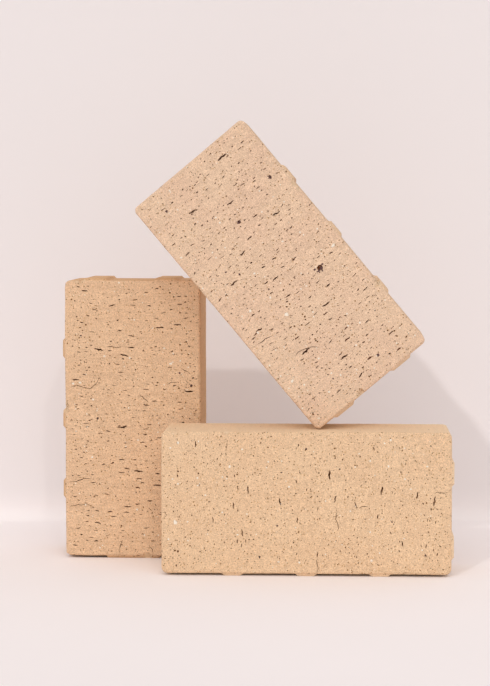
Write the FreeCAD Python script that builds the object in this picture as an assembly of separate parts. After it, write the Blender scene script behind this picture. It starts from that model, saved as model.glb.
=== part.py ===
import FreeCAD, Part
import math
import os

# Three solid clay paving blocks: one lies on a long side, one stands on end behind it,
# and one leans against the standing one with a corner on the lying one.
# Each block is an extruded column cut to its thickness by a wire, so its two large faces are
# torn and pitted and its four sides carry the die's smooth skin and spacer nibs.

# Fired size of a block without its nibs, in millimetres
block_length = 197.0
block_width = 97.0
block_thickness = 60.0
corner_radius = 4.0
arris_radius = 2.0

# Spacer nibs, flat-topped ribs that run from one wire-cut face to the other. A block has them
# on one long side and on its ends: two on one end and, where it shows, a broad one opposite.
nib_height = 1.5
nib_pitch = 50.0
long_nib_count = 3
short_nib_count = 2
long_nib_crown = 11.0
short_nib_crown = 14.0
broad_nib_crown = 36.0
nib_flank = 2.0
nib_end = 1.0
nib_root = 1.2

# Tears that the cutting wire leaves, which run across the block
tear_length = 7.0
tear_width = 1.3
tear_depth = 1.1
back_tear_count = 16
back_tear_smallest = 0.8
back_tear_step = 0.12
mark_margin = 6.0

# Shape of a tear, as shares of its half length and half width
tear_lip_length = 1.2
tear_lip_width = 1.4
tear_shoulder = 0.5
tear_keel = 0.33

# Mineral grains in the clay, and the shrinkage gap round each
quartz_radius = 1.7
iron_radius = 2.4
grain_depth = 2.2
grain_proud = 0.25
shrinkage_gap = 0.05

# Shape of a grain, as shares of its radius and depth
grain_root = 0.5
grain_head = 0.6
grain_waist = 0.2
grain_stretch = 1.25
grain_unevenness = 0.22

# Chips knocked off the arrises, each a shallow shell-shaped hollow
chip_radius = 9.0
chip_depth = 1.6

# How the three blocks stand, in millimetres and degrees
tip_gap = 0.3
shoulder_gap = 0.65
lying_turn = -2.6
row_turn = -2.9
upright_left = -169.5
upright_front = 78.3
tip_left = 8.8
tip_depth = 17.0

# Marks on each front face: per cent of the length, per cent of the width, and size factor.
# They are read from the left end and the lower side of a block that lies on its long side.
lying_marks = {
    "nibs": ("bottom", "right"),
    "nib_shift": -4.5,
    "tears": [(58, 70, 1.3), (60, 53, 1.0), (30, 59, 1.1), (47, 38, 0.8), (28, 29, 1.0),
              (54, 14, 0.8), (94, 52, 1.4), (67, 49, 0.9), (25, 48, 0.9), (41, 51, 1.0),
              (18, 38, 0.8), (76, 59, 1.2), (88, 56, 1.0), (13, 90, 1.6), (83, 22, 0.8)],
    "quartz": [(6, 92, 0.7), (5, 36, 1.1), (37, 79, 0.5), (72, 30, 0.5), (13, 93, 0.5)],
    "iron": [(50, 88, 0.4), (91, 14, 0.4), (34, 12, 0.45)],
    "chips": [("right", 61, 1.0), ("top", 22, 0.8), ("left", 70, 0.7), ("bottom", 84, 0.8)],
}
upright_marks = {
    "nibs": ("bottom", "left", "broad right"),
    "nib_shift": -1.5,
    "tears": [(25, 25, 1.3), (27, 44, 1.2), (36, 8, 1.0), (16, 83, 1.0), (17, 70, 1.1),
              (69, 54, 1.3), (74, 68, 1.2), (40, 91, 1.3), (53, 42, 1.4), (88, 24, 1.0),
              (60, 78, 1.0), (45, 60, 0.9), (82, 46, 1.0), (9, 35, 1.0)],
    "quartz": [(30, 78, 0.8), (28, 48, 0.5), (64, 20, 0.6), (83, 53, 0.6)],
    "iron": [(50, 24, 0.5), (38, 93, 0.55), (20, 12, 0.4)],
    "chips": [("bottom", 46, 1.1), ("left", 12, 0.9), ("top", 35, 0.7), ("right", 60, 0.8)],
}
leaning_marks = {
    "nibs": ("top", "right"),
    "nib_shift": 0.0,
    "tears": [(6, 72, 1.5), (14, 32, 1.3), (76, 30, 1.4), (33, 76, 1.2), (42, 22, 1.2),
              (20, 56, 1.1), (50, 46, 1.1), (68, 62, 1.2), (86, 48, 1.2), (36, 40, 1.0),
              (60, 14, 1.0), (90, 84, 0.9), (24, 10, 0.9)],
    "quartz": [(54, 92, 0.8), (81, 9, 0.8), (53, 18, 0.7), (62, 36, 1.1), (92, 24, 0.6)],
    "iron": [(57, 75, 1.4), (27, 52, 0.75), (22, 89, 0.7), (8, 18, 0.5), (93, 67, 0.6)],
    "chips": [("left", 80, 0.9), ("top", 30, 0.9), ("top", 74, 1.0), ("right", 40, 1.1)],
}

V = FreeCAD.Vector


def faceted(rings):
    """A closed flat-faced solid through rings of points that have like counts and order."""
    faces = [Part.Face(Part.makePolygon(rings[0] + rings[0][:1])),
             Part.Face(Part.makePolygon(rings[-1] + rings[-1][:1]))]
    for low, high in zip(rings, rings[1:]):
        for i in range(len(low)):
            j = (i + 1) % len(low)
            faces.append(Part.Face(Part.makePolygon([low[i], low[j], high[j], high[i], low[i]])))
    solid = Part.Solid(Part.Shell(faces))
    if solid.Volume < 0:
        solid.reverse()
    return solid


def nib(x, z, out_x, out_z, crown):
    """A flat-topped rib whose crown stands off the side at (x, z) along its outward direction."""
    rings = []
    levels = ((-nib_root, crown / 2 + nib_flank, nib_end), (0, crown / 2 + nib_flank, nib_end),
              (nib_height, crown / 2, nib_end + nib_flank))
    for rise, half, end in levels:
        middle = V(x + out_x * rise, 0, z + out_z * rise)
        across = V(abs(out_z), 0, abs(out_x)) * half
        near, far = V(0, end, 0), V(0, block_thickness - end, 0)
        rings.append([middle - across + near, middle + across + near,
                      middle + across + far, middle - across + far])
    return faceted(rings)


def row(count, middle):
    """So many places at the nib pitch, about a middle."""
    return [middle + (i - (count - 1) / 2) * nib_pitch for i in range(count)]


def nibs(sides, shift):
    """The nibs of the named sides; those of the ends lie a little off the middle."""
    end = block_length / 2
    along = row(long_nib_count, 0)
    across = row(short_nib_count, block_width / 2 + shift)
    ribs = {
        "bottom": [nib(x, 0, 0, -1, long_nib_crown) for x in along],
        "top": [nib(x, block_width, 0, 1, long_nib_crown) for x in along],
        "left": [nib(-end, z, -1, 0, short_nib_crown) for z in across],
        "right": [nib(end, z, 1, 0, short_nib_crown) for z in across],
        "broad right": [nib(end, block_width / 2, 1, 0, broad_nib_crown)],
    }
    return [rib for side in sides for rib in ribs[side]]


def tear(x, y, z, outward, size):
    """The boat-shaped hollow that a dragged grain leaves, long across the block."""
    half = tear_length * size / 2
    side = tear_width * size / 2
    depth = tear_depth * size
    lip = y + outward * depth / 2
    floor = y - outward * depth
    tips, shoulders, ends = half * tear_lip_length, half * tear_shoulder, half * tear_keel
    flare = side * tear_lip_width
    tip = [V(x, lip, z - tips), V(x, lip, z + tips)]
    near = [V(x + flare, lip, z - shoulders), V(x + flare, lip, z + shoulders)]
    far = [V(x - flare, lip, z - shoulders), V(x - flare, lip, z + shoulders)]
    keel = [V(x, floor, z - ends), V(x, floor, z + ends)]
    outlines = [
        [tip[0], near[0], near[1], tip[1], far[1], far[0]],
        [near[0], near[1], keel[1], keel[0]],
        [far[0], far[1], keel[1], keel[0]],
        [tip[0], near[0], keel[0]],
        [tip[0], far[0], keel[0]],
        [tip[1], near[1], keel[1]],
        [tip[1], far[1], keel[1]],
    ]
    shell = Part.Shell([Part.Face(Part.makePolygon(points + points[:1])) for points in outlines])
    solid = Part.Solid(shell)
    if solid.Volume < 0:
        solid.reverse()
    return solid


def grain(x, y, z, outward, radius, sides, turn, gap):
    """An angular grain set in a face, widest just under it; gap grows it into its socket."""
    rings = []
    levels = ((-grain_depth - gap, grain_root * radius + gap),
              (-grain_waist * grain_depth, radius + gap),
              (grain_proud + gap, grain_head * radius + gap))
    for level, reach in levels:
        ring = []
        for i in range(sides):
            step = i + grain_unevenness * math.sin(2.4 * i + turn)
            angle = turn + 2 * math.pi * step / sides
            rise = grain_stretch * reach * math.sin(angle)
            ring.append(V(x + reach * math.cos(angle), y + outward * level, z + rise))
        rings.append(ring)
    return faceted(rings)


def chip(side, share, size):
    """The ball that takes a shell-shaped chip off the front arris of one side."""
    reach = chip_radius * size
    rolled_off = (math.sqrt(2) - 1) * arris_radius
    off = (reach - chip_depth * size - rolled_off) / math.sqrt(2)
    along = share / 100
    places = {
        "bottom": (block_length * (along - 0.5), -off),
        "top": (block_length * (along - 0.5), block_width + off),
        "left": (-block_length / 2 - off, block_width * along),
        "right": (block_length / 2 + off, block_width * along),
    }
    x, z = places[side]
    return Part.makeSphere(reach, V(x, -off, z))


def spread(count):
    """Evenly scattered places on the back face, by the golden ratio."""
    golden = (math.sqrt(5) - 1) / 2
    places = []
    for i in range(count):
        x = (block_length - 2 * mark_margin) * ((i + 0.5) / count - 0.5)
        z = mark_margin + (block_width - 2 * mark_margin) * ((0.37 + i * golden) % 1)
        places.append((x, z))
    return places


def spans_thickness(edge):
    """Whether an edge runs from one wire-cut face to the other."""
    return edge.BoundBox.YLength > block_thickness / 2


def front_place(along, across):
    """The place on a front face that two percentages name."""
    return block_length * (along / 100 - 0.5), block_width * across / 100


def block(marks):
    """One block lying on a long side, centred on X, its front at Y = 0 and its body from Z = 0."""
    clay = Part.makeBox(block_length, block_thickness, block_width, V(-block_length / 2, 0, 0))
    clay = clay.makeFillet(corner_radius, [edge for edge in clay.Edges if spans_thickness(edge)])
    clay = clay.makeFillet(arris_radius, [edge for edge in clay.Edges if not spans_thickness(edge)])
    clay = clay.fuse(nibs(marks["nibs"], marks["nib_shift"]))

    cuts = []
    for along, across, size in marks["tears"]:
        x, z = front_place(along, across)
        cuts.append(tear(x, 0, z, -1, size))
    for i, (x, z) in enumerate(spread(back_tear_count)):
        size = back_tear_smallest + back_tear_step * (i % 5)
        cuts.append(tear(x, block_thickness, z, 1, size))
    for side, share, size in marks["chips"]:
        cuts.append(chip(side, share, size))

    grains = {"quartz": [], "iron": []}
    for kind, radius, sides in (("quartz", quartz_radius, 5), ("iron", iron_radius, 6)):
        for i, (along, across, size) in enumerate(marks[kind]):
            x, z = front_place(along, across)
            place = (x, 0, z, -1, radius * size, sides, i + 0.4)
            grains[kind].append(grain(*place, 0))
            cuts.append(grain(*place, shrinkage_gap))
    clay = clay.cut(cuts)
    return clay.Solids[0], Part.makeCompound(grains["quartz"]), Part.makeCompound(grains["iron"])


def lean(corner_x, corner_z, tip_z):
    """The tilt, from level, of a side that rests its lower rounded end at (0, tip_z)
    and passes the rounded corner at (corner_x, corner_z) with the shoulder gap between them."""
    distance = math.hypot(corner_x, corner_z - tip_z)
    rise = math.atan2(corner_z - tip_z, -corner_x)
    return rise + math.asin((2 * corner_radius + shoulder_gap) / distance)


def placed(shape, tilt, turn, pivot, target):
    """The shape tilted clockwise about its own pivot, turned about Z, and moved to the target."""
    spin = FreeCAD.Rotation(V(0, 0, 1), turn).multiply(FreeCAD.Rotation(V(0, 1, 0), tilt))
    moved = shape.copy()
    moved.Placement = FreeCAD.Placement(target - spin.multVec(pivot), spin)
    return moved


# The lying block stands on its long side's nibs.
lying_base = V(0, 0, nib_height)

# The upright block stands on its broad nib, turned clockwise, so its left side was its lower side.
upright_corner = V(upright_left, upright_front, nib_height)

# The leaning block's lowest corner stands on the lying block's top.
tip_axis = V(tip_left, tip_depth, nib_height + block_width + tip_gap + corner_radius)

# Its lower side passes the upright block's top right corner, so that corner sets the tilt.
row_spin = FreeCAD.Rotation(V(0, 0, 1), row_turn)
upright_right = V(block_width - corner_radius, 0, block_length - corner_radius)
shoulder = row_spin.inverted().multVec(upright_corner + row_spin.multVec(upright_right) - tip_axis)
leaning_tilt = math.degrees(lean(shoulder.x, shoulder.z, 0))

blocks = {
    "lying": (lying_marks, 0, lying_turn, V(0, 0, 0), lying_base),
    "upright": (upright_marks, 90, row_turn, V(block_length / 2, 0, 0), upright_corner),
    "leaning": (leaning_marks, leaning_tilt, row_turn,
                V(block_length / 2 - corner_radius, 0, corner_radius), tip_axis),
}

nodes = {}
for name, (marks, tilt, turn, pivot, target) in blocks.items():
    for kind, shape in zip(("block", "quartz", "iron"), block(marks)):
        nodes[name + "_" + kind] = placed(shape, tilt, turn, pivot, target)

# The origin is under the middle of the whole set, at the level it stands on.
whole = Part.makeCompound(list(nodes.values())).optimalBoundingBox()
origin = V((whole.XMin + whole.XMax) / 2, (whole.YMin + whole.YMax) / 2, 0)
os.makedirs("parts", exist_ok=True)
for name, shape in nodes.items():
    shape.translate(-origin)
    shape.exportStep("parts/" + name + ".step")
    print(name, len(shape.Solids), "solids,", round(shape.Volume), "mm3, valid", shape.isValid())
print("origin shift", origin, "tilt", round(leaning_tilt, 2))
print("size", whole.XLength, whole.YLength, whole.ZLength, "lowest", whole.ZMin)
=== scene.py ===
import functools
import math
import random

import bmesh
import bpy
import numpy as np
from mathutils import Matrix, Vector


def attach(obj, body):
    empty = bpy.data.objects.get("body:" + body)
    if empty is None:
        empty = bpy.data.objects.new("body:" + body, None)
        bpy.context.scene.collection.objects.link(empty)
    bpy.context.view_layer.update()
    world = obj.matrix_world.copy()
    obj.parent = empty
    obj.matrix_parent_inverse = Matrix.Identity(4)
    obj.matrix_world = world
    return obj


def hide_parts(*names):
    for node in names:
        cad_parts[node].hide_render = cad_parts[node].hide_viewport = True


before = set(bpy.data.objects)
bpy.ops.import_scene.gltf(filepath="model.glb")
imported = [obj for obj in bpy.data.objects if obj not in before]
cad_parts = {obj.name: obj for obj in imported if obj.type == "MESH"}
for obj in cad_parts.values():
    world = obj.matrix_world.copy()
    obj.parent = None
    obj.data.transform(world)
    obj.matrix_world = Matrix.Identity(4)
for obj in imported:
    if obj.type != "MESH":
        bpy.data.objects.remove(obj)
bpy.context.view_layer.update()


# The clay bodies of the three blocks
# Each is solid buff clay. The clay is pushed through a die, which leaves four smooth sides
# with spacer nibs, and a wire cuts it to thickness, so both large faces are dragged and torn.
# They are shaped in millimetres with the front face at Y = 0, then placed in the frame.
block_length = 197.0
block_width = 97.0
block_thickness = 60.0
corner_radius = 4.0
arris_radius = 2.0
nib_height = 1.5
nib_pitch = 50.0
long_nib_crown = 11.0
short_nib_crown = 14.0
broad_nib_crown = 36.0
nib_flank = 2.0
nib_end = 0.6
face_step = 1.45
side_step = 2.4
end_offsets = (0.0, 0.3, 0.7, 1.2, 1.8, 2.5, 3.5, 5.0)
chip_radius = 9.0
chip_depth = 1.6
back_chip_radius = 8.0
back_chip_off = 5.2
tear_half_length = 3.0
tear_half_width = 0.52
tear_depth = 1.1
crack_half_width = 0.26
crack_depth = 0.8
crack_waver = 0.4
quartz_radius = 1.7
iron_radius = 2.4
socket_share = 0.8
socket_depth = 0.8
unmarked_rim = 3.6
tries_for_a_place = 12
back_tick_count = 110
back_dot_count = 90
side_tick_count = 16


def stations(length, step, centre, ribs):
    """Cutting lines along one edge, closer at its ends and exact at the flanks of its ribs."""
    fixed = [*end_offsets, *(length - offset for offset in end_offsets)]
    for middle, half in ribs:
        for reach in (half, half + nib_flank / 2, half + nib_flank):
            fixed += [centre + middle - reach, centre + middle + reach]
    count = round((length - 2 * end_offsets[-1]) / step)
    span = (length - 2 * end_offsets[-1]) / count
    even = [end_offsets[-1] + i * span for i in range(1, count)]
    kept = [at for at in even if min(abs(at - line) for line in fixed) > 0.45 * step]
    return np.array(sorted(fixed + kept))


def grid_skin(counts):
    """The places on the skin of a box of points, and the quads that join them, facing out."""
    on_skin = np.zeros(counts, bool)
    on_skin[[0, -1]] = True
    on_skin[:, [0, -1]] = True
    on_skin[:, :, [0, -1]] = True
    number = np.zeros(counts, int)
    number[on_skin] = np.arange(on_skin.sum())
    quads = []
    for axis in range(3):
        for end in (0, -1):
            sheet = np.take(number, end, axis)
            corners = [sheet[:-1, :-1], sheet[1:, :-1], sheet[1:, 1:], sheet[:-1, 1:]]
            if (end == 0) != (axis == 1):
                corners.reverse()
            quads.append(np.stack(corners, -1).reshape(-1, 4))
    return np.argwhere(on_skin), np.vstack(quads)


@functools.lru_cache(maxsize=None)
def lump_heights(seed):
    """A table of random heights, made once for each seed."""
    return np.random.default_rng(seed).uniform(-1, 1, (256, 256))


def lumps(seed, u, v, size_u, size_v):
    """Smooth random heights from -1 to 1 over a surface, with one lump to each size."""
    heights = lump_heights(seed)
    i, j = np.floor(u / size_u).astype(int), np.floor(v / size_v).astype(int)
    s, t = u / size_u - i, v / size_v - j
    s, t = s * s * (3 - 2 * s), t * t * (3 - 2 * t)
    near = heights[i % 256, j % 256] * (1 - s) + heights[(i + 1) % 256, j % 256] * s
    far = heights[i % 256, (j + 1) % 256] * (1 - s) + heights[(i + 1) % 256, (j + 1) % 256] * s
    return near * (1 - t) + far * t


def wire_cut(seed, x, z):
    """How far the wire's face lies inside the flat, at (x, z): slow swells and fine drag lines."""
    swell = 0.22 * lumps(seed, x, z, 41, 34) + 0.10 * lumps(seed + 1, x, z, 9, 13)
    drag = 0.07 * lumps(seed + 2, x, z, 2.9, 11) + 0.05 * lumps(seed + 3, x, z, 1.6, 5)
    return 0.15 + swell + drag


def smooth_rise(value, start, stop):
    """0 before start, 1 after stop, and a soft step between."""
    share = np.clip((value - start) / (stop - start), 0, 1)
    return share * share * (3 - 2 * share)


def nibs_on(side, shift):
    """The middle and half width of each nib on a side, measured from the side's own middle."""
    if side in ("bottom", "top"):
        return [(place * nib_pitch, long_nib_crown / 2) for place in (-1, 0, 1)]
    if side == "broad right":
        return [(0, broad_nib_crown / 2)]
    return [(place * nib_pitch + shift, short_nib_crown / 2) for place in (-0.5, 0.5)]


def column(clay):
    """One block's vertices and quads before its marks, in its own millimetres."""
    seed, length, width = clay["seed"], block_length, block_width
    ribs = {side: nibs_on(side, clay["nib_shift"]) for side in clay["nibs"]}
    long_ribs = [rib for side, row in ribs.items() if side in ("bottom", "top") for rib in row]
    short_ribs = [rib for side, row in ribs.items() if side not in ("bottom", "top") for rib in row]
    lines_x = stations(length, face_step, length / 2, long_ribs)
    lines_y = stations(block_thickness, side_step, 0, [])
    lines_z = stations(width, face_step, width / 2, short_ribs)
    places, quads = grid_skin((len(lines_x), len(lines_y), len(lines_z)))
    x = lines_x[places[:, 0]] - length / 2
    y = lines_y[places[:, 1]]
    z = lines_z[places[:, 2]] - width / 2

    # The outline has rounded corners, each worn to its own radius.
    corner = corner_radius * (1 + 0.16 * lumps(seed + 4, np.sign(x) * 7, np.sign(z) * 7, 5, 5))
    core_x, core_z = length / 2 - corner, width / 2 - corner
    over_x, over_z = (abs(x) - core_x) / corner, (abs(z) - core_z) / corner
    rounded = (over_x > 0) & (over_z > 0)
    a, b = np.where(rounded, over_x, 0), np.where(rounded, over_z, 0)
    disc_x, disc_z = a * np.sqrt(1 - b * b / 2), b * np.sqrt(1 - a * a / 2)
    rim_x = np.where(rounded, np.sign(x) * (core_x + disc_x * corner), x)
    rim_z = np.where(rounded, np.sign(z) * (core_z + disc_z * corner), z)
    disc = np.hypot(disc_x, disc_z)
    inside_x, inside_z = length / 2 - abs(x), width / 2 - abs(z)
    inside = np.where(rounded, corner * (1 - disc), np.minimum(inside_x, inside_z))
    flat_x = np.where(inside_x < inside_z, np.sign(x), 0)
    flat_z = np.where(inside_x < inside_z, 0, np.sign(z))
    out_x = np.where(rounded, np.sign(x) * disc_x / np.maximum(disc, 1e-6), flat_x)
    out_z = np.where(rounded, np.sign(z) * disc_z / np.maximum(disc, 1e-6), flat_z)

    # The arris between a wire-cut face and a side is rolled over unevenly.
    back = y > block_thickness / 2
    depth = np.where(back, block_thickness - y, y)
    on_face = depth < 1e-6
    along = np.where(abs(out_z) > abs(out_x), rim_x, rim_z)
    arris = arris_radius * (1 + 0.22 * lumps(seed + 5, along, out_x * 9 + out_z * 4, 17, 3)
                            + 0.16 * lumps(seed + 6, along, out_x * 9 + out_z * 4, 5, 3))
    share = np.where(on_face, 1 - inside / arris, 1 + depth / arris)
    angle = np.clip(share, 0, 2) * math.pi / 4
    inset, sunk = arris * (1 - np.sin(angle)), arris * (1 - np.cos(angle))
    inset = np.where(on_face & (inside > arris), inside, inset)
    sunk = np.where(depth > arris, depth, sunk)
    shift = np.where(on_face, inset - inside, inset)

    # The sides bow a little in firing and carry the nibs, which fade out at the wire's cut.
    ends = smooth_rise(depth, nib_end, nib_end + nib_flank)
    facing = {"bottom": out_z < -0.99, "top": out_z > 0.99, "left": out_x < -0.99,
              "right": out_x > 0.99, "broad right": out_x > 0.99}
    rise = np.zeros(len(x))
    for side, row in ribs.items():
        position = rim_x if side in ("bottom", "top") else rim_z
        for middle, half in row:
            crown = 1 - smooth_rise(abs(position - middle), half, half + nib_flank)
            rise = np.maximum(rise, np.where(facing[side] & ~on_face, crown * ends, 0))
    bow = 0.22 * (lumps(seed + 7, along, out_x * 9 + out_z * 4, 47, 3) - 1)
    skin = 0.05 * lumps(seed + 8, along, y, 2.2, 26) + 0.04 * lumps(seed + 9, along, y, 7, 9)
    bow = np.where(inside < arris, bow * (1 - rise) + skin * (1 - on_face), 0)
    shift = shift - nib_height * rise - bow * (1 - smooth_rise(inside, 0, 12))

    x, z = rim_x - out_x * shift, rim_z - out_z * shift
    cut = wire_cut(seed + 10, x, z) * smooth_rise(inside, 0.2, 3.0)
    cut = np.where(on_face, cut, 0)
    sunk = np.where(on_face, np.where(inside > arris, 0, sunk) + cut, sunk)
    y = np.where(back, block_thickness - sunk, sunk)
    return np.column_stack([x, y, z + width / 2]), quads


class Cutters:
    """A growing mesh of small closed shapes that a block's marks are cut with."""

    def __init__(self):
        self.vertices = []
        self.faces = []
        self.taken = []

    def free(self, face, s, t, half_s, half_t):
        """Whether nothing was cut so near this place, which is then kept."""
        for other, s2, t2, wide, tall in self.taken:
            if other == face and abs(s - s2) < half_s + wide and abs(t - t2) < half_t + tall:
                return False
        self.taken.append((face, s, t, half_s, half_t))
        return True

    def tube(self, rings, first, last):
        """A closed spindle through rings of points, from one end point to the other."""
        start = len(self.vertices)
        size = len(rings[0])
        self.vertices += [first] + [point for ring in rings for point in ring] + [last]
        for i in range(size):
            j = (i + 1) % size
            self.faces.append((start, start + 1 + j, start + 1 + i))
            for k in range(len(rings) - 1):
                low = start + 1 + k * size
                self.faces.append((low + i, low + j, low + size + j, low + size + i))
            low = start + 1 + (len(rings) - 1) * size
            self.faces.append((low + i, low + j, start + 1 + len(rings) * size))

    def mesh(self, name, material):
        """The shapes as a mesh whose faces all point outwards."""
        made = bpy.data.meshes.new(name)
        made.from_pydata(self.vertices, [], self.faces)
        shaped = bmesh.new()
        shaped.from_mesh(made)
        bmesh.ops.recalc_face_normals(shaped, faces=shaped.faces)
        shaped.to_mesh(made)
        shaped.free()
        made.materials.append(material)
        return made


def surface_point(clay, face, s, t, out):
    """The point that stands so far out of a block's face, at s along and t across it."""
    if face == "front":
        return (s, wire_cut(clay["seed"] + 10, np.array(s), np.array(t - block_width / 2)) - out, t)
    if face == "back":
        cut = wire_cut(clay["seed"] + 10, np.array(s), np.array(t - block_width / 2))
        return (s, block_thickness - cut + out, t)
    return {
        "bottom": (s, t, -out),
        "top": (s, t, block_width + out),
        "left": (-block_length / 2 - out, t, s),
        "right": (block_length / 2 + out, t, s),
    }[face]


def gouge(cutters, clay, face, path, half_width, depth, draw):
    """Cuts a ragged groove with pointed ends along a path of (s, t) places on a face."""
    section = ((-1.0, 0.5), (-0.85, -0.35), (-0.35, -1.0), (0.4, -0.9), (0.9, -0.3), (1.0, 0.5))
    rings = []
    for i in range(1, len(path) - 1):
        run_s, run_t = path[i + 1][0] - path[i - 1][0], path[i + 1][1] - path[i - 1][1]
        run = math.hypot(run_s, run_t)
        side_s, side_t = -run_t / run, run_s / run
        taper = math.sin(math.pi * i / (len(path) - 1)) ** 0.6
        wide = half_width * taper * draw.uniform(0.7, 1.25)
        deep = depth * taper * draw.uniform(0.75, 1.2)
        ring = []
        for across, level in section:
            reach = wide * across * draw.uniform(0.85, 1.15)
            out = 0.45 if level > 0 else level * deep
            s, t = path[i][0] + side_s * reach, path[i][1] + side_t * reach
            ring.append(surface_point(clay, face, s, t, out))
        rings.append(ring)
    first = surface_point(clay, face, *path[0], 0.2)
    last = surface_point(clay, face, *path[-1], 0.2)
    cutters.tube(rings, first, last)


def stroke(s, t, half_length, turn, bends, waver, draw):
    """A wavering path of bends + 2 places, centred at (s, t), that runs along t when turn is 0."""
    path = []
    for i in range(bends + 2):
        reach = half_length * (2 * i / (bends + 1) - 1)
        aside = waver * draw.uniform(-1, 1)
        path.append((s + math.sin(turn) * reach + math.cos(turn) * aside,
                     t + math.cos(turn) * reach - math.sin(turn) * aside))
    return path


def scatter(cutters, clay, face, count, lengths, widths, draw, straight=0.15):
    """Cuts so many ticks at free places on a face, each long across the block."""
    whole = {
        "front": (-block_length / 2, block_length / 2, 0, block_width),
        "back": (-block_length / 2, block_length / 2, 0, block_width),
        "bottom": (-block_length / 2, block_length / 2, 0, block_thickness),
        "top": (-block_length / 2, block_length / 2, 0, block_thickness),
        "left": (0, block_width, 0, block_thickness),
        "right": (0, block_width, 0, block_thickness),
    }[face]
    rim = unmarked_rim
    for _ in range(count):
        half_length = lengths[0] * (lengths[1] / lengths[0]) ** (draw.random() ** 1.6)
        half_width = widths[0] * (widths[1] / widths[0]) ** draw.random()
        turn = draw.gauss(0, straight)
        for _ in range(tries_for_a_place):
            s = draw.uniform(whole[0] + rim, whole[1] - rim)
            t = draw.uniform(whole[2] + rim + half_length, whole[3] - rim - half_length)
            wide = abs(math.sin(turn)) * half_length + half_width * 1.6 + 0.25
            if cutters.free(face, s, t, wide, half_length + 0.35):
                bends = 2 if half_length < 1 else 3
                path = stroke(s, t, half_length, turn, bends, half_width * 0.5, draw)
                depth = min(1.3, half_width * draw.uniform(1.6, 2.6))
                gouge(cutters, clay, face, path, half_width, depth, draw)
                break


def crumb(cutters, place, radius, draw, rings=4, sides=7):
    """Cuts a rough rounded bite of one radius round a place."""
    x, y, z = place
    levels = []
    for k in range(1, rings + 1):
        lift = math.pi * k / (rings + 1)
        ring = []
        for i in range(sides):
            spin = 2 * math.pi * i / sides
            reach = radius * draw.uniform(0.82, 1.12)
            ring.append((x + reach * math.sin(lift) * math.cos(spin),
                         y + reach * math.sin(lift) * math.sin(spin), z + reach * math.cos(lift)))
        levels.append(ring)
    cutters.tube(levels, (x, y, z + radius), (x, y, z - radius))


def on_arris(side, share, off, back):
    """The place that stands off an arris, diagonally outwards, part of the way along a side."""
    y = block_thickness + off if back else -off
    return {
        "bottom": (block_length * (share - 0.5), y, -off),
        "top": (block_length * (share - 0.5), y, block_width + off),
        "left": (-block_length / 2 - off, y, block_width * share),
        "right": (block_length / 2 + off, y, block_width * share),
    }[side]


def put_in(name, data):
    """A new object in the scene with this mesh, lamp or camera."""
    thing = bpy.data.objects.new(name, data)
    bpy.context.scene.collection.objects.link(thing)
    return thing


def carved(vertices, quads, passes, bare, name):
    """The column with each pass of cutters taken out. Its materials say which pass left a face."""
    mesh = bpy.data.meshes.new(name)
    mesh.from_pydata(vertices.tolist(), [], quads.tolist())
    mesh.materials.append(bare)
    for cutters, kind in passes:
        body = put_in("body", mesh)
        knife = put_in("knife", cutters.mesh("knife", kind))
        cut = body.modifiers.new("cut", "BOOLEAN")
        cut.solver = "MANIFOLD"
        cut.operation = "DIFFERENCE"
        cut.material_mode = "TRANSFER"
        cut.object = knife
        depsgraph = bpy.context.evaluated_depsgraph_get()
        mesh = bpy.data.meshes.new_from_object(body.evaluated_get(depsgraph))
        bpy.data.objects.remove(body)
        bpy.data.objects.remove(knife)

    # Crumbs cut loose and hollows shut inside the clay go, and the one large skin stays.
    shaped = bmesh.new()
    shaped.from_mesh(mesh)
    left = set(shaped.verts)
    skins = []
    while left:
        skin = [left.pop()]
        for vertex in skin:
            for edge in vertex.link_edges:
                other = edge.other_vert(vertex)
                if other in left:
                    left.remove(other)
                    skin.append(other)
        skins.append(skin)
    skins.sort(key=len)
    stray = [vertex for skin in skins[:-1] for vertex in skin]
    bmesh.ops.delete(shaped, geom=stray, context="VERTS")
    shaped.to_mesh(mesh)
    shaped.free()
    return mesh


# What shows on each front face: per cent of the length, per cent of the width, and size factor,
# from the left end and the lower side of a block that lies on its long side.
lying = {
    "node": "lying_block", "body": "lying", "seed": 100, "turn": -2.6, "tilt": 0.0,
    "nibs": ("bottom", "right"), "nib_shift": -4.5,
    "tears": [(58, 70, 1.3), (60, 53, 1.0), (30, 59, 1.1), (47, 38, 0.8), (28, 29, 1.0),
              (54, 14, 0.8), (94, 52, 1.4), (67, 49, 0.9), (25, 48, 0.9), (41, 51, 1.0),
              (18, 38, 0.8), (76, 59, 1.2), (88, 56, 1.0), (12, 91, 0.8), (83, 22, 0.8)],
    "cracks": [[(93.8, 57.0), (95.2, 58.4), (97.0, 57.4), (98.8, 58.2)],
               [(60.0, 49.0), (60.6, 44.0), (60.0, 39.0), (61.2, 34.0), (60.8, 30.0)],
               [(54.0, 12.0), (53.6, 8.0), (54.2, 4.0), (53.8, 1.2)],
               [(67.6, 46.0), (69.5, 48.5), (71.5, 47.6)]],
    "quartz": [(6, 92, 0.7), (5, 36, 1.1), (37, 79, 0.5), (72, 30, 0.5), (13, 93, 0.5)],
    "iron": [(50, 88, 0.4), (91, 14, 0.4), (34, 12, 0.45)],
    "chips": [("right", 61, 1.0), ("top", 22, 0.8), ("left", 70, 0.7), ("bottom", 84, 0.8)],
    "ticks": 90, "tick_lengths": (0.6, 1.9), "dots": 330, "grit": 60,
}
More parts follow.
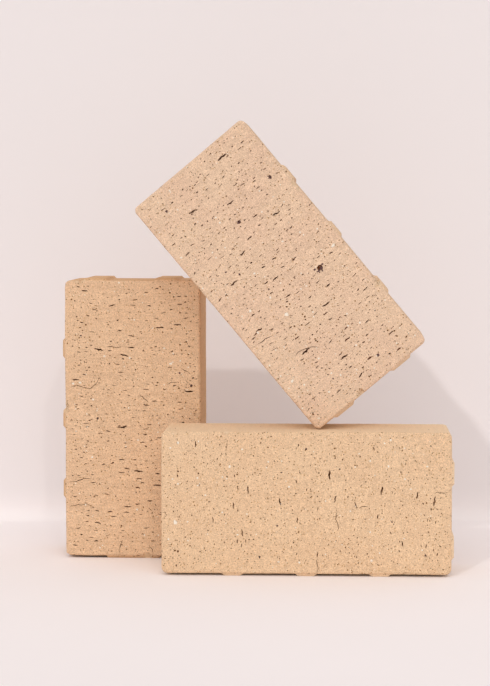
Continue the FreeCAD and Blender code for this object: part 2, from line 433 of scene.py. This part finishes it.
upright = {
    "node": "upright_block", "body": "upright", "seed": 200, "turn": -2.9, "tilt": 90.0,
    "nibs": ("bottom", "left", "broad right"), "nib_shift": -1.5,
    "tears": [(25, 25, 1.3), (27, 44, 1.2), (36, 8, 1.0), (16, 83, 1.0), (17, 70, 1.1),
              (69, 54, 1.3), (74, 68, 1.2), (40, 91, 1.3), (53, 42, 1.4), (88, 24, 1.0),
              (60, 78, 1.0), (45, 60, 0.9), (82, 46, 1.0), (9, 35, 1.0)],
    "cracks": [[(38.5, 4.0), (38.0, 9.0), (38.8, 14.0), (39.2, 19.0), (37.2, 23.0), (34.9, 25.5)],
               [(94.0, 42.0), (96.0, 40.6), (97.8, 39.8), (99.4, 40.2)],
               [(95.6, 61.0), (97.4, 64.0), (99.5, 65.0)],
               [(73.0, 2.0), (72.8, 8.0), (71.8, 14.0), (71.5, 21.0)],
               [(82.4, 2.0), (81.6, 7.0), (81.2, 14.0), (81.5, 20.0)],
               [(24.2, 30.0), (23.8, 34.0), (24.3, 38.0), (23.7, 43.0)],
               [(37.8, 74.0), (36.9, 79.0), (36.6, 85.0)],
               [(41.0, 55.0), (42.6, 58.0), (44.4, 62.0)],
               [(31.6, 84.0), (32.4, 89.0), (34.0, 93.0)]],
    "quartz": [(30, 78, 0.8), (28, 48, 0.5), (64, 20, 0.6), (83, 53, 0.6)],
    "iron": [(50, 24, 0.5), (38, 93, 0.55), (20, 12, 0.4)],
    "chips": [("bottom", 46, 1.1), ("left", 12, 0.9), ("top", 35, 0.7), ("right", 60, 0.8)],
    "ticks": 260, "tick_lengths": (0.7, 3.2), "dots": 260, "grit": 70,
}
leaning = {
    "node": "leaning_block", "body": "leaning", "seed": 300, "turn": -2.9, "tilt": 50.02,
    "nibs": ("top", "right"), "nib_shift": 0.0,
    "tears": [(6, 72, 1.5), (14, 32, 1.3), (76, 30, 1.4), (33, 76, 1.2), (42, 22, 1.2),
              (20, 56, 1.1), (50, 46, 1.1), (68, 62, 1.2), (86, 48, 1.2), (36, 40, 1.0),
              (60, 14, 1.0), (90, 84, 0.9), (24, 10, 0.9)],
    "cracks": [[(75.4, 20.0), (74.6, 25.0), (75.2, 31.0), (76.8, 37.0), (78.4, 40.0)],
               [(63.4, 5.5), (63.8, 10.0), (64.0, 15.0), (64.8, 20.0)]],
    "quartz": [(54, 92, 0.8), (81, 9, 0.8), (53, 18, 0.7), (62, 36, 1.1), (92, 24, 0.6)],
    "iron": [(57, 75, 1.4), (27, 52, 0.75), (22, 89, 0.7), (8, 18, 0.5), (93, 67, 0.6)],
    "chips": [("left", 80, 0.9), ("top", 30, 0.9), ("top", 74, 1.0), ("right", 40, 1.1)],
    "ticks": 290, "tick_lengths": (0.6, 2.8), "dots": 240, "grit": 130,
}


def front_place(along, across):
    """A place on the front face, in millimetres, from its two percentages."""
    return block_length * (along / 100 - 0.5), block_width * across / 100


def chipped_arrises(clay, draw):
    """The big shell-shaped chips, as on the structure, and one on the back."""
    cutters = Cutters()
    for side, share, size in clay["chips"]:
        radius = chip_radius * size
        rolled_off = (math.sqrt(2) - 1) * arris_radius
        off = (radius - chip_depth * size - rolled_off) / math.sqrt(2)
        crumb(cutters, on_arris(side, share / 100, off, False), radius, draw, 11, 22)
    behind = on_arris("top", draw.uniform(0.2, 0.8), back_chip_off, True)
    crumb(cutters, behind, back_chip_radius, draw, 11, 22)
    return cutters


def torn_faces(clay, draw):
    """The tears, cracks and sockets of both wire-cut faces, and the few pits of the sides."""
    cutters = Cutters()
    for along, across, size in clay["tears"]:
        s, t = front_place(along, across)
        half_length, half_width = tear_half_length * size, tear_half_width * size
        turn = draw.gauss(0, 0.12)
        cutters.free("front", s, t, half_width + 0.8, half_length + 0.4)
        path = stroke(s, t, half_length, turn, 5, half_width * 0.6, draw)
        gouge(cutters, clay, "front", path, half_width, tear_depth * size, draw)
    for points in clay["cracks"]:
        path = [front_place(*point) for point in points]
        fine = []
        for (s, t), (s2, t2) in zip(path, path[1:]):
            for k in range(3):
                part = k / 3
                fine.append((s + (s2 - s) * part + draw.uniform(-crack_waver, crack_waver),
                             t + (t2 - t) * part + draw.uniform(-crack_waver, crack_waver)))
        fine.append(path[-1])
        for s, t in fine:
            cutters.taken.append(("front", s, t, 0.9, 0.9))
        gouge(cutters, clay, "front", fine, crack_half_width, crack_depth, draw)
    for kind, radius in (("quartz", quartz_radius), ("iron", iron_radius)):
        for along, across, size in clay[kind]:
            s, t = front_place(along, across)
            reach = radius * size * socket_share
            if cutters.free("front", s, t, reach + 0.3, reach * 1.3 + 0.3):
                path = stroke(s, t, reach, 0.0, 4, 0.1, draw)
                gouge(cutters, clay, "front", path, reach, socket_depth, draw)
    scatter(cutters, clay, "front", clay["ticks"], clay["tick_lengths"], (0.24, 0.52), draw)
    scatter(cutters, clay, "front", clay["dots"], (0.3, 0.9), (0.25, 0.52), draw, 0.6)
    scatter(cutters, clay, "back", back_tick_count, (0.9, 3.0), (0.28, 0.55), draw)
    scatter(cutters, clay, "back", back_dot_count, (0.4, 1.0), (0.25, 0.45), draw, 0.6)
    for face in ("bottom", "top", "left", "right"):
        scatter(cutters, clay, face, side_tick_count, (0.5, 3.4), (0.22, 0.45), draw, 0.1)
    return cutters


def crumbled_arrises(draw):
    """Small bites along the arrises, where the cut edge has crumbled."""
    cutters = Cutters()
    for back in (False, True):
        for side in ("bottom", "top", "left", "right"):
            run = block_length if side in ("bottom", "top") else block_width
            place = draw.uniform(5, 9)
            while place < run - 5:
                radius = draw.uniform(0.7, 1.9)
                off = (radius - draw.uniform(0.25, 0.7)) / math.sqrt(2) - 0.3
                crumb(cutters, on_arris(side, place / run, off, back), radius, draw)
                place += radius * 2.3 + draw.expovariate(1 / 9)
    return cutters


def add_values(mesh, name, kind, domain, values):
    """Keeps one value for each point or face, which the clay's colours read."""
    layer = mesh.attributes.new(name, kind, domain)
    layer.data.foreach_set("vector" if kind == "FLOAT_VECTOR" else "value", values.ravel())


def stance(clay):
    """Takes a block's own millimetres to the place of its solid in the structure."""
    lean = Matrix.Rotation(math.radians(clay["tilt"]), 4, "Y")
    spin = Matrix.Rotation(math.radians(clay["turn"]), 4, "Z") @ lean
    upright_again = spin.inverted()
    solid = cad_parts[clay["node"]].data
    lowest = np.min([upright_again @ vertex.co for vertex in solid.vertices], axis=0)
    left = -block_length / 2 - nib_height * ("left" in clay["nibs"])
    bottom = -nib_height * ("bottom" in clay["nibs"])
    shift = Vector(lowest) - Vector((left, 0, bottom)) * 0.001
    return spin @ Matrix.Translation(shift) @ Matrix.Scale(0.001, 4)


def fired_block(clay, finish):
    """One finished block: shaped, marked, placed in the frame and riding on its body."""
    draw = random.Random(clay["seed"])
    vertices, quads = column(clay)
    whole, torn, broken = (bpy.data.materials.new(kind) for kind in ("whole", "torn", "broken"))
    passes = [(chipped_arrises(clay, draw), broken), (crumbled_arrises(draw), broken),
              (torn_faces(clay, draw), torn)]
    title = clay["body"].capitalize() + "_block"
    mesh = carved(vertices, quads, passes, whole, title)

    # Rims stay bare clay, and only what lies wholly inside a tear is painted dark: partly painted
    # shade in the hollow, partly the darker torn clay.
    slots = [material.name.split(".")[0] for material in mesh.materials]
    kinds = np.zeros(len(mesh.polygons), int)
    mesh.polygons.foreach_get("material_index", kinds)
    is_torn = kinds == slots.index("torn")
    corners = np.zeros(len(mesh.loops), int)
    mesh.loops.foreach_get("vertex_index", corners)
    sizes = np.zeros(len(mesh.polygons), int)
    mesh.polygons.foreach_get("loop_total", sizes)
    of_torn = np.repeat(is_torn, sizes)
    inner = np.zeros(len(mesh.vertices))
    inner[corners[of_torn]] = 1
    inner[corners[~of_torn]] = 0
    places = np.zeros(len(mesh.vertices) * 3)
    mesh.vertices.foreach_get("co", places)
    places = places.reshape(-1, 3)
    edge_gap = np.minimum(places[:, 1], block_thickness - places[:, 1])
    face_share = 1 - smooth_rise(edge_gap, 0.9, 1.9)
    add_values(mesh, "pit", "FLOAT", "POINT", inner)
    add_values(mesh, "wire_face", "FLOAT", "POINT", np.maximum(face_share, inner))
    add_values(mesh, "broken", "FLOAT", "FACE", (kinds == slots.index("broken")).astype(float))
    add_values(mesh, "place", "FLOAT_VECTOR", "POINT", places + clay["seed"])

    clay["stance"] = stance(clay)
    mesh.transform(clay["stance"])
    mesh.materials.clear()
    mesh.materials.append(finish)
    mesh.polygons.foreach_set("material_index", np.zeros(len(mesh.polygons), int))
    mesh.polygons.foreach_set("use_smooth", np.ones(len(mesh.polygons), bool))
    mesh.set_sharp_from_angle(angle=math.radians(32))
    for spare in (whole, torn, broken):
        bpy.data.materials.remove(spare)

    block = put_in(title, mesh)
    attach(block, clay["body"])
    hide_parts(clay["node"])


class Paint:
    """One socket of a material's nodes, on which sums and further nodes are built."""

    def __init__(self, material, socket=None):
        self.material = material
        self.socket = socket

    def node(self, kind, settings, inputs, output=0):
        """A new node of that kind, with its settings, then its sockets' values or links."""
        tree = self.material.node_tree
        made = tree.nodes.new("ShaderNode" + kind)
        for setting, value in settings.items():
            if setting == "stops":
                for i, (place, colour) in enumerate(value):
                    stops = made.color_ramp.elements
                    stop = stops[i] if i < 2 else stops.new(place)
                    stop.position, stop.color = place, (*colour, 1)
            else:
                setattr(made, setting, value)
        for name, value in inputs.items():
            if isinstance(value, Paint):
                tree.links.new(value.socket, made.inputs[name])
            else:
                made.inputs[name].default_value = value
        return Paint(self.material, made.outputs[output])

    def sum(self, operation, first, second):
        return self.node("Math", {"operation": operation}, {0: first, 1: second})

    def __add__(self, other):
        return self.sum("ADD", self, other)

    def __radd__(self, other):
        return self.sum("ADD", other, self)

    def __sub__(self, other):
        return self.sum("SUBTRACT", self, other)

    def __rsub__(self, other):
        return self.sum("SUBTRACT", other, self)

    def __mul__(self, other):
        return self.sum("MULTIPLY", self, other)

    def __rmul__(self, other):
        return self.sum("MULTIPLY", other, self)

    def within(self, start, stop):
        """0 at start and before, 1 at stop and after, and a soft step between."""
        settings = {"interpolation_type": "SMOOTHSTEP"}
        return self.node("MapRange", settings, {"Value": self, "From Min": start, "From Max": stop})

    def stretched(self, x, y, z):
        """This vector with each of its parts multiplied."""
        return self.node("VectorMath", {"operation": "MULTIPLY"}, {0: self, 1: (x, y, z)})

    def moved(self, x, y, z):
        """This vector with each of its parts raised."""
        return self.node("VectorMath", {"operation": "ADD"}, {0: self, 1: (x, y, z)})

    def cloud(self, scale, detail, roughness=0.55):
        """Soft noise from 0 to 1 over this vector."""
        inputs = {"Vector": self, "Scale": scale, "Detail": detail, "Roughness": roughness}
        return self.node("TexNoise", {}, inputs)

    def flecks(self, scale, share, smallest, largest):
        """Spots of mixed size over this vector, in that share of its cells."""
        cells = {"Vector": self, "Scale": scale, "Randomness": 1.0}
        distance = self.node("TexVoronoi", {}, cells, "Distance")
        pick = self.node("TexVoronoi", {}, cells, "Color")
        chance = self.node("SeparateColor", {}, {0: pick}, "Red")
        size = self.node("SeparateColor", {}, {0: pick}, "Green")
        shown = chance.within(1 - share, 1 - share + 0.02)
        radius = smallest + (largest - smallest) * size
        return ((radius - distance) * (4 / largest)).within(0, 1) * shown

    def blend(self, amount, other):
        """This colour, and the other where the amount is 1."""
        return self.node("Mix", {"data_type": "RGBA"}, {0: amount, 6: self, 7: other}, 2)

    def scaled(self, amount):
        """This colour made lighter or darker."""
        return self.node("VectorMath", {"operation": "SCALE"}, {0: self, "Scale": amount})


def fresh_material(name):
    """An empty material, its shader node and a brush to start from."""
    material = bpy.data.materials.new(name)
    material.use_nodes = True
    shader = material.node_tree.nodes["Principled BSDF"]
    return material, shader, Paint(material)


def clay_finish(name, tone, ruddy, skin, dark, drag):
    """Fired clay: mottled, sandy, pitted on the wire-cut faces and smoother on the die's sides."""
    material, shader, brush = fresh_material(name)
    place = brush.node("Attribute", {"attribute_name": "place"}, {}, "Vector")
    pit = brush.node("Attribute", {"attribute_name": "pit"}, {}, "Fac")
    face = brush.node("Attribute", {"attribute_name": "wire_face"}, {}, "Fac")
    broken = brush.node("Attribute", {"attribute_name": "broken"}, {}, "Fac")
    wander = brush.node("TexNoise", {}, {"Vector": place, "Scale": 0.9, "Detail": 1.0}, "Color")
    warp = {0: wander, 1: (0.8, 0.8, 0.8), 2: place}
    ragged = brush.node("VectorMath", {"operation": "MULTIPLY_ADD"}, warp)
    dragged = ragged.stretched(1, 1, drag)
    drawn = place.stretched(1, 0.08, 1)

    mottle = place.cloud(0.045, 3)
    patches = dragged.cloud(0.22, 3)
    sand = place.cloud(1.25, 1, 0.6).within(0.30, 0.70)
    grit = dragged.cloud(0.6, 3, 0.6).within(0.30, 0.70)
    streaks = drawn.cloud(0.5, 3)
    specks = ragged.flecks(0.44, 0.48, 0.10, 0.34)
    stains = ragged.flecks(0.44, 0.48, 0.24, 0.48)
    dust = place.flecks(0.85, 0.28, 0.12, 0.36)
    ticks = dragged.flecks(0.36, 0.55, 0.10, 0.28)
    glint = ragged.moved(0.60, 0, -0.45).flecks(0.44, 0.36, 0.12, 0.30)
    pale = place.flecks(0.30, 0.16, 0.10, 0.22)
    crust = brush.node("RGB", {}, {})
    crust.socket.default_value = (*tone, 1)
    body = crust.blend(mottle.within(0.35, 0.65), (*ruddy, 1))
    body = body.scaled(0.91 + 0.18 * patches)
    body = body.scaled(0.89 + 0.30 * sand)
    body = body.scaled(0.96 + 0.12 * grit)
    # The sides take the skin tone, which for two of the blocks is partly painted light and painted
    # shade.
    side_tone_with_painted_light = crust.blend(0.8, (*skin, 1)).scaled(0.92 + 0.16 * streaks).scaled(0.92 + 0.16 * sand)
    body = side_tone_with_painted_light.blend(face, body)
    body = body.blend(broken * 0.6, (0.83, 0.62, 0.42, 1))
    body = body.blend(stains * face * 0.4, (0.60, 0.34, 0.12, 1))
    body = body.blend(dust * (0.10 + 0.62 * face), (*dark, 1))
    body = body.blend(glint * face * 0.8, (1.0, 0.86, 0.66, 1))
    body = body.blend(pale * (0.2 + 0.7 * face), (0.98, 0.90, 0.78, 1))
    # Specks and ticks stand for hollows too small to cut: their dark colour is partly painted shade
    # inside them, partly darker clay.
    body = body.blend(specks * (0.12 + 0.85 * face), (*dark, 1))
    body = body.blend(ticks * face * 0.95, (*dark, 1))
    # Inside the tears the colour is painted dark: partly painted shade in the hollows, partly the
    # darker torn clay.
    pit_shade_and_stain = place.cloud(0.30, 2).within(0.36, 0.60)
    body = body.blend(pit * (0.55 + 0.44 * pit_shade_and_stain), (*dark, 1))

    relief = 0.30 * sand + 0.22 * grit * face + 0.10 * streaks
    relief = relief - 0.22 * (specks + ticks) * face + 0.10 * pale
    bump = brush.node("Bump", {}, {"Height": relief, "Strength": 0.8, "Distance": 0.001}, "Normal")
    tree = material.node_tree
    tree.links.new(body.socket, shader.inputs["Base Color"])
    tree.links.new((0.72 + 0.2 * face + 0.06 * sand).socket, shader.inputs["Roughness"])
    tree.links.new(bump.socket, shader.inputs["Normal"])
    shader.inputs["Specular IOR Level"].default_value = 0.08
    return material


# The skin tones of the sides are partly painted light: the lying block's sides are painted paler,
# so its shaded top reads bright, and the upright block's sides are painted darker, as painted shade
# on its shaded side.
buff_clay = clay_finish("Buff clay", (0.81, 0.575, 0.37), (0.79, 0.55, 0.35),
                        (0.95, 0.72, 0.49), (0.11, 0.028, 0.002), 0.8)
brown_clay = clay_finish("Browner buff clay", (0.78, 0.535, 0.345), (0.755, 0.51, 0.325),
                         (0.68, 0.41, 0.215), (0.10, 0.022, 0.003), 0.3)
pale_clay = clay_finish("Paler buff clay", (0.79, 0.57, 0.40), (0.78, 0.55, 0.39),
                        (0.79, 0.55, 0.35), (0.10, 0.024, 0.004), 0.3)
blocks = ((lying, buff_clay), (upright, brown_clay), (leaning, pale_clay))
for clay, finish in blocks:
    fired_block(clay, finish)


# The mineral grains in the clay
# Milky quartz chips and dark ironstone nodules were in the clay before it was pressed. The large
# quartz chips are the structure's own, the nodules are shaped anew, and fine grit lies between.
nodule_radius = 2.2
crumbs_in_nodule = 7
ironstone_grit_count = 22
quartz_grit_radii = (0.45, 1.2)
ironstone_grit_radii = (0.35, 1.0)


def grain_finish(name, first, second, scale, roughness, coat):
    """A hard mineral: two tones in clouds, with a dull or glassy skin and a rough break."""
    material, shader, brush = fresh_material(name)
    where = brush.node("TexCoord", {}, {}, "Object")
    cloud = where.cloud(scale, 3)
    fine = where.cloud(scale * 3.5, 2)
    stops = {"stops": [(0.32, first), (0.68, second)]}
    tone = brush.node("ValToRGB", stops, {"Fac": cloud}).scaled(0.88 + 0.24 * fine)
    bump = brush.node("Bump", {}, {"Height": fine, "Strength": 0.6, "Distance": 0.0003}, "Normal")
    tree = material.node_tree
    tree.links.new(tone.socket, shader.inputs["Base Color"])
    tree.links.new((roughness + 0.15 * fine).socket, shader.inputs["Roughness"])
    tree.links.new(bump.socket, shader.inputs["Normal"])
    shader.inputs["Coat Weight"].default_value = coat
    shader.inputs["Coat Roughness"].default_value = 0.25
    return material


milky_quartz = grain_finish("Milky quartz", (0.97, 0.89, 0.77), (0.92, 0.81, 0.66), 900, 0.4, 0.05)
ironstone = grain_finish("Ironstone", (0.055, 0.022, 0.024), (0.15, 0.07, 0.065), 700, 0.7, 0.0)

for clay, _ in blocks:
    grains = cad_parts[clay["body"] + "_quartz"]
    grains.data.materials.clear()
    grains.data.materials.append(milky_quartz)


def rough_ball(shaped, least, most, draw):
    """The vertices of a small rough ball, added to a mesh being shaped."""
    ball = bmesh.ops.create_icosphere(shaped, subdivisions=1, radius=1.0)["verts"]
    for vertex in ball:
        vertex.co *= draw.uniform(least, most)
    return ball


def settled(title, shaped, finish):
    """The grains that were being shaped, as one object in the scene."""
    mesh = bpy.data.meshes.new(title)
    shaped.to_mesh(mesh)
    shaped.free()
    mesh.materials.append(finish)
    return put_in(title, mesh)


def nodules_in(clay):
    """Each ironstone nodule as a ragged cluster of crumbs, in the place of the plain grain."""
    draw = random.Random(clay["seed"] + 70)
    shaped = bmesh.new()
    for along, across, size in clay["iron"]:
        s, t = front_place(along, across)
        radius = nodule_radius * size
        for _ in range(crumbs_in_nodule):
            crumb_radius = radius * draw.uniform(0.25, 0.5)
            near_s, near_t = s + radius * draw.gauss(0, 0.42), t + radius * draw.gauss(0, 0.62)
            lump = rough_ball(shaped, 0.7, 1.15, draw)
            shape = Matrix.Diagonal((crumb_radius, crumb_radius * 0.6, crumb_radius * 1.25, 1))
            place = surface_point(clay, "front", near_s, near_t, -0.35 * crumb_radius)
            spot = clay["stance"] @ Matrix.Translation(place)
            bmesh.ops.transform(shaped, matrix=spot @ shape, verts=lump)
    nodules = settled(clay["body"].capitalize() + "_ironstone", shaped, ironstone)
    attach(nodules, clay["body"])
    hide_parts(clay["body"] + "_iron")


def grit_in(clay, title, finish, count, radii, seed):
    """Fine grains pressed into both wire-cut faces of a block, a little proud of them."""
    draw = random.Random(seed)
    shaped = bmesh.new()
    for number in range(count):
        face = "back" if number % 5 == 4 else "front"
        s = draw.uniform(-0.47, 0.47) * block_length
        t = draw.uniform(0.04, 0.96) * block_width
        radius = radii[0] * (radii[1] / radii[0]) ** (draw.random() ** 1.7)
        grain = rough_ball(shaped, 0.75, 1.1, draw)
        shape = Matrix.Diagonal((radius, radius * 0.8, radius * draw.uniform(1.0, 1.5), 1))
        lean = Matrix.Rotation(draw.gauss(0, 0.5), 4, "Y")
        roll = Matrix.Rotation(draw.uniform(0, 3), 4, "X")
        spot = Matrix.Translation(surface_point(clay, face, s, t, -0.35 * radius))
        placed = clay["stance"] @ spot @ (lean @ roll) @ shape
        bmesh.ops.transform(shaped, matrix=placed, verts=grain)
    grains = settled(title, shaped, finish)
    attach(grains, clay["body"])


for clay, _ in blocks:
    nodules_in(clay)
    title = clay["body"].capitalize()
    grit_in(clay, title + "_quartz_grit", milky_quartz,
            clay["grit"], quartz_grit_radii, clay["seed"] + 50)
    grit_in(clay, title + "_ironstone_grit", ironstone,
            ironstone_grit_count, ironstone_grit_radii, clay["seed"] + 60)


# The floor and the wall behind
# Both are one sheet of warm white card, with a small soft bend where the floor meets the wall.
# The floor is painted a tenth brighter than the wall, as painted light, as if more light fell on
# it, and from behind it is clear, so that the backs show.
wall_y = 0.196
wall_top = 2.0
floor_front = -2.6
sheet_half_width = 2.2
bend_radius = 0.012
floor_painted_light = 1.10
wall_brightness_height = 0.03
sweep = bpy.data.meshes.new("Floor and wall")
profile = [(floor_front, 0.0)]
profile += [(wall_y - bend_radius + bend_radius * math.sin(a), bend_radius * (1 - math.cos(a)))
            for a in np.linspace(0, math.pi / 2, 9)]
profile.append((wall_y, wall_top))
corners = [(x, y, z) for y, z in profile for x in (-sheet_half_width, sheet_half_width)]
strips = [(i, i + 1, i + 3, i + 2) for i in range(0, len(corners) - 2, 2)]
sweep.from_pydata(corners, [], strips)
sweep.polygons.foreach_set("use_smooth", [True] * len(sweep.polygons))
card, card_shader, card_brush = fresh_material("Warm white card")
card_place = card_brush.node("TexCoord", {}, {}, "Object")
card_colours = {"stops": [(0.3, (0.87, 0.825, 0.83)), (0.7, (0.885, 0.84, 0.845))]}
card_colour = card_brush.node("ValToRGB", card_colours, {"Fac": card_place.cloud(3.0, 2)})
height = card_place.node("SeparateXYZ", {}, {0: card_place}, "Z")
up_wall = height.within(0.0, wall_brightness_height)
# Painted light: the floor part of the card is painted a tenth brighter than the wall.
card_colour = card_colour.scaled(floor_painted_light - (floor_painted_light - 1) * up_wall)
card.node_tree.links.new(card_colour.socket, card_shader.inputs["Base Color"])
card_shader.inputs["Roughness"].default_value = 0.9
seen_from_behind = card_brush.node("NewGeometry", {}, {}, "Backfacing")
clear = card_brush.node("BsdfTransparent", {}, {}, 0)
sheet_face = Paint(card, card_shader.outputs["BSDF"])
shown = card_brush.node("MixShader", {}, {0: seen_from_behind, 1: sheet_face, 2: clear})
card.node_tree.links.new(shown.socket, card.node_tree.nodes["Material Output"].inputs["Surface"])
sweep.materials.append(card)
backdrop = put_in("Floor and wall", sweep)


# The light
# A large soft sky fills the room. A small window stands to the front left, a weaker one to
# the front right, and a broad one high in front lights the floor and the tops.
def window(name, travel, strength, spread):
    """A distant lamp whose light travels that way."""
    lamp = bpy.data.lights.new(name, "SUN")
    lamp.energy = strength
    lamp.angle = math.radians(spread)
    lamp.color = (1.0, 0.99, 0.98)
    put_in(name, lamp).rotation_euler = Vector(travel).to_track_quat("-Z", "Y").to_euler()


window("Left window", (0.44, 1.0, -0.60), 0.48, 1.8)
window("Right window", (-0.18, 1.0, -0.55), 0.15, 1.8)
window("High window", (0.0, 0.8, -1.0), 0.66, 60)
world = bpy.data.worlds.new("Soft sky")
world.use_nodes = True
sky = world.node_tree.nodes["Background"]
sky.inputs["Color"].default_value = (1.0, 0.96, 0.93, 1)
sky.inputs["Strength"].default_value = 0.575
bpy.context.scene.world = world


# The camera
# It stands a metre and a half in front and looks down a little at the middle of the stack.
camera = bpy.data.cameras.new("Camera")
camera.sensor_fit = "VERTICAL"
camera.sensor_height = 36.0
camera.lens = 109.5
camera.clip_end = 20.0
tripod = put_in("Camera", camera)
tripod.location = (-0.00711, -1.46843, 0.24512)
tripod.rotation_euler = (math.radians(90 - 3.53), 0, 0)
bpy.context.scene.camera = tripod
bpy.context.scene.view_settings.view_transform = "Standard"
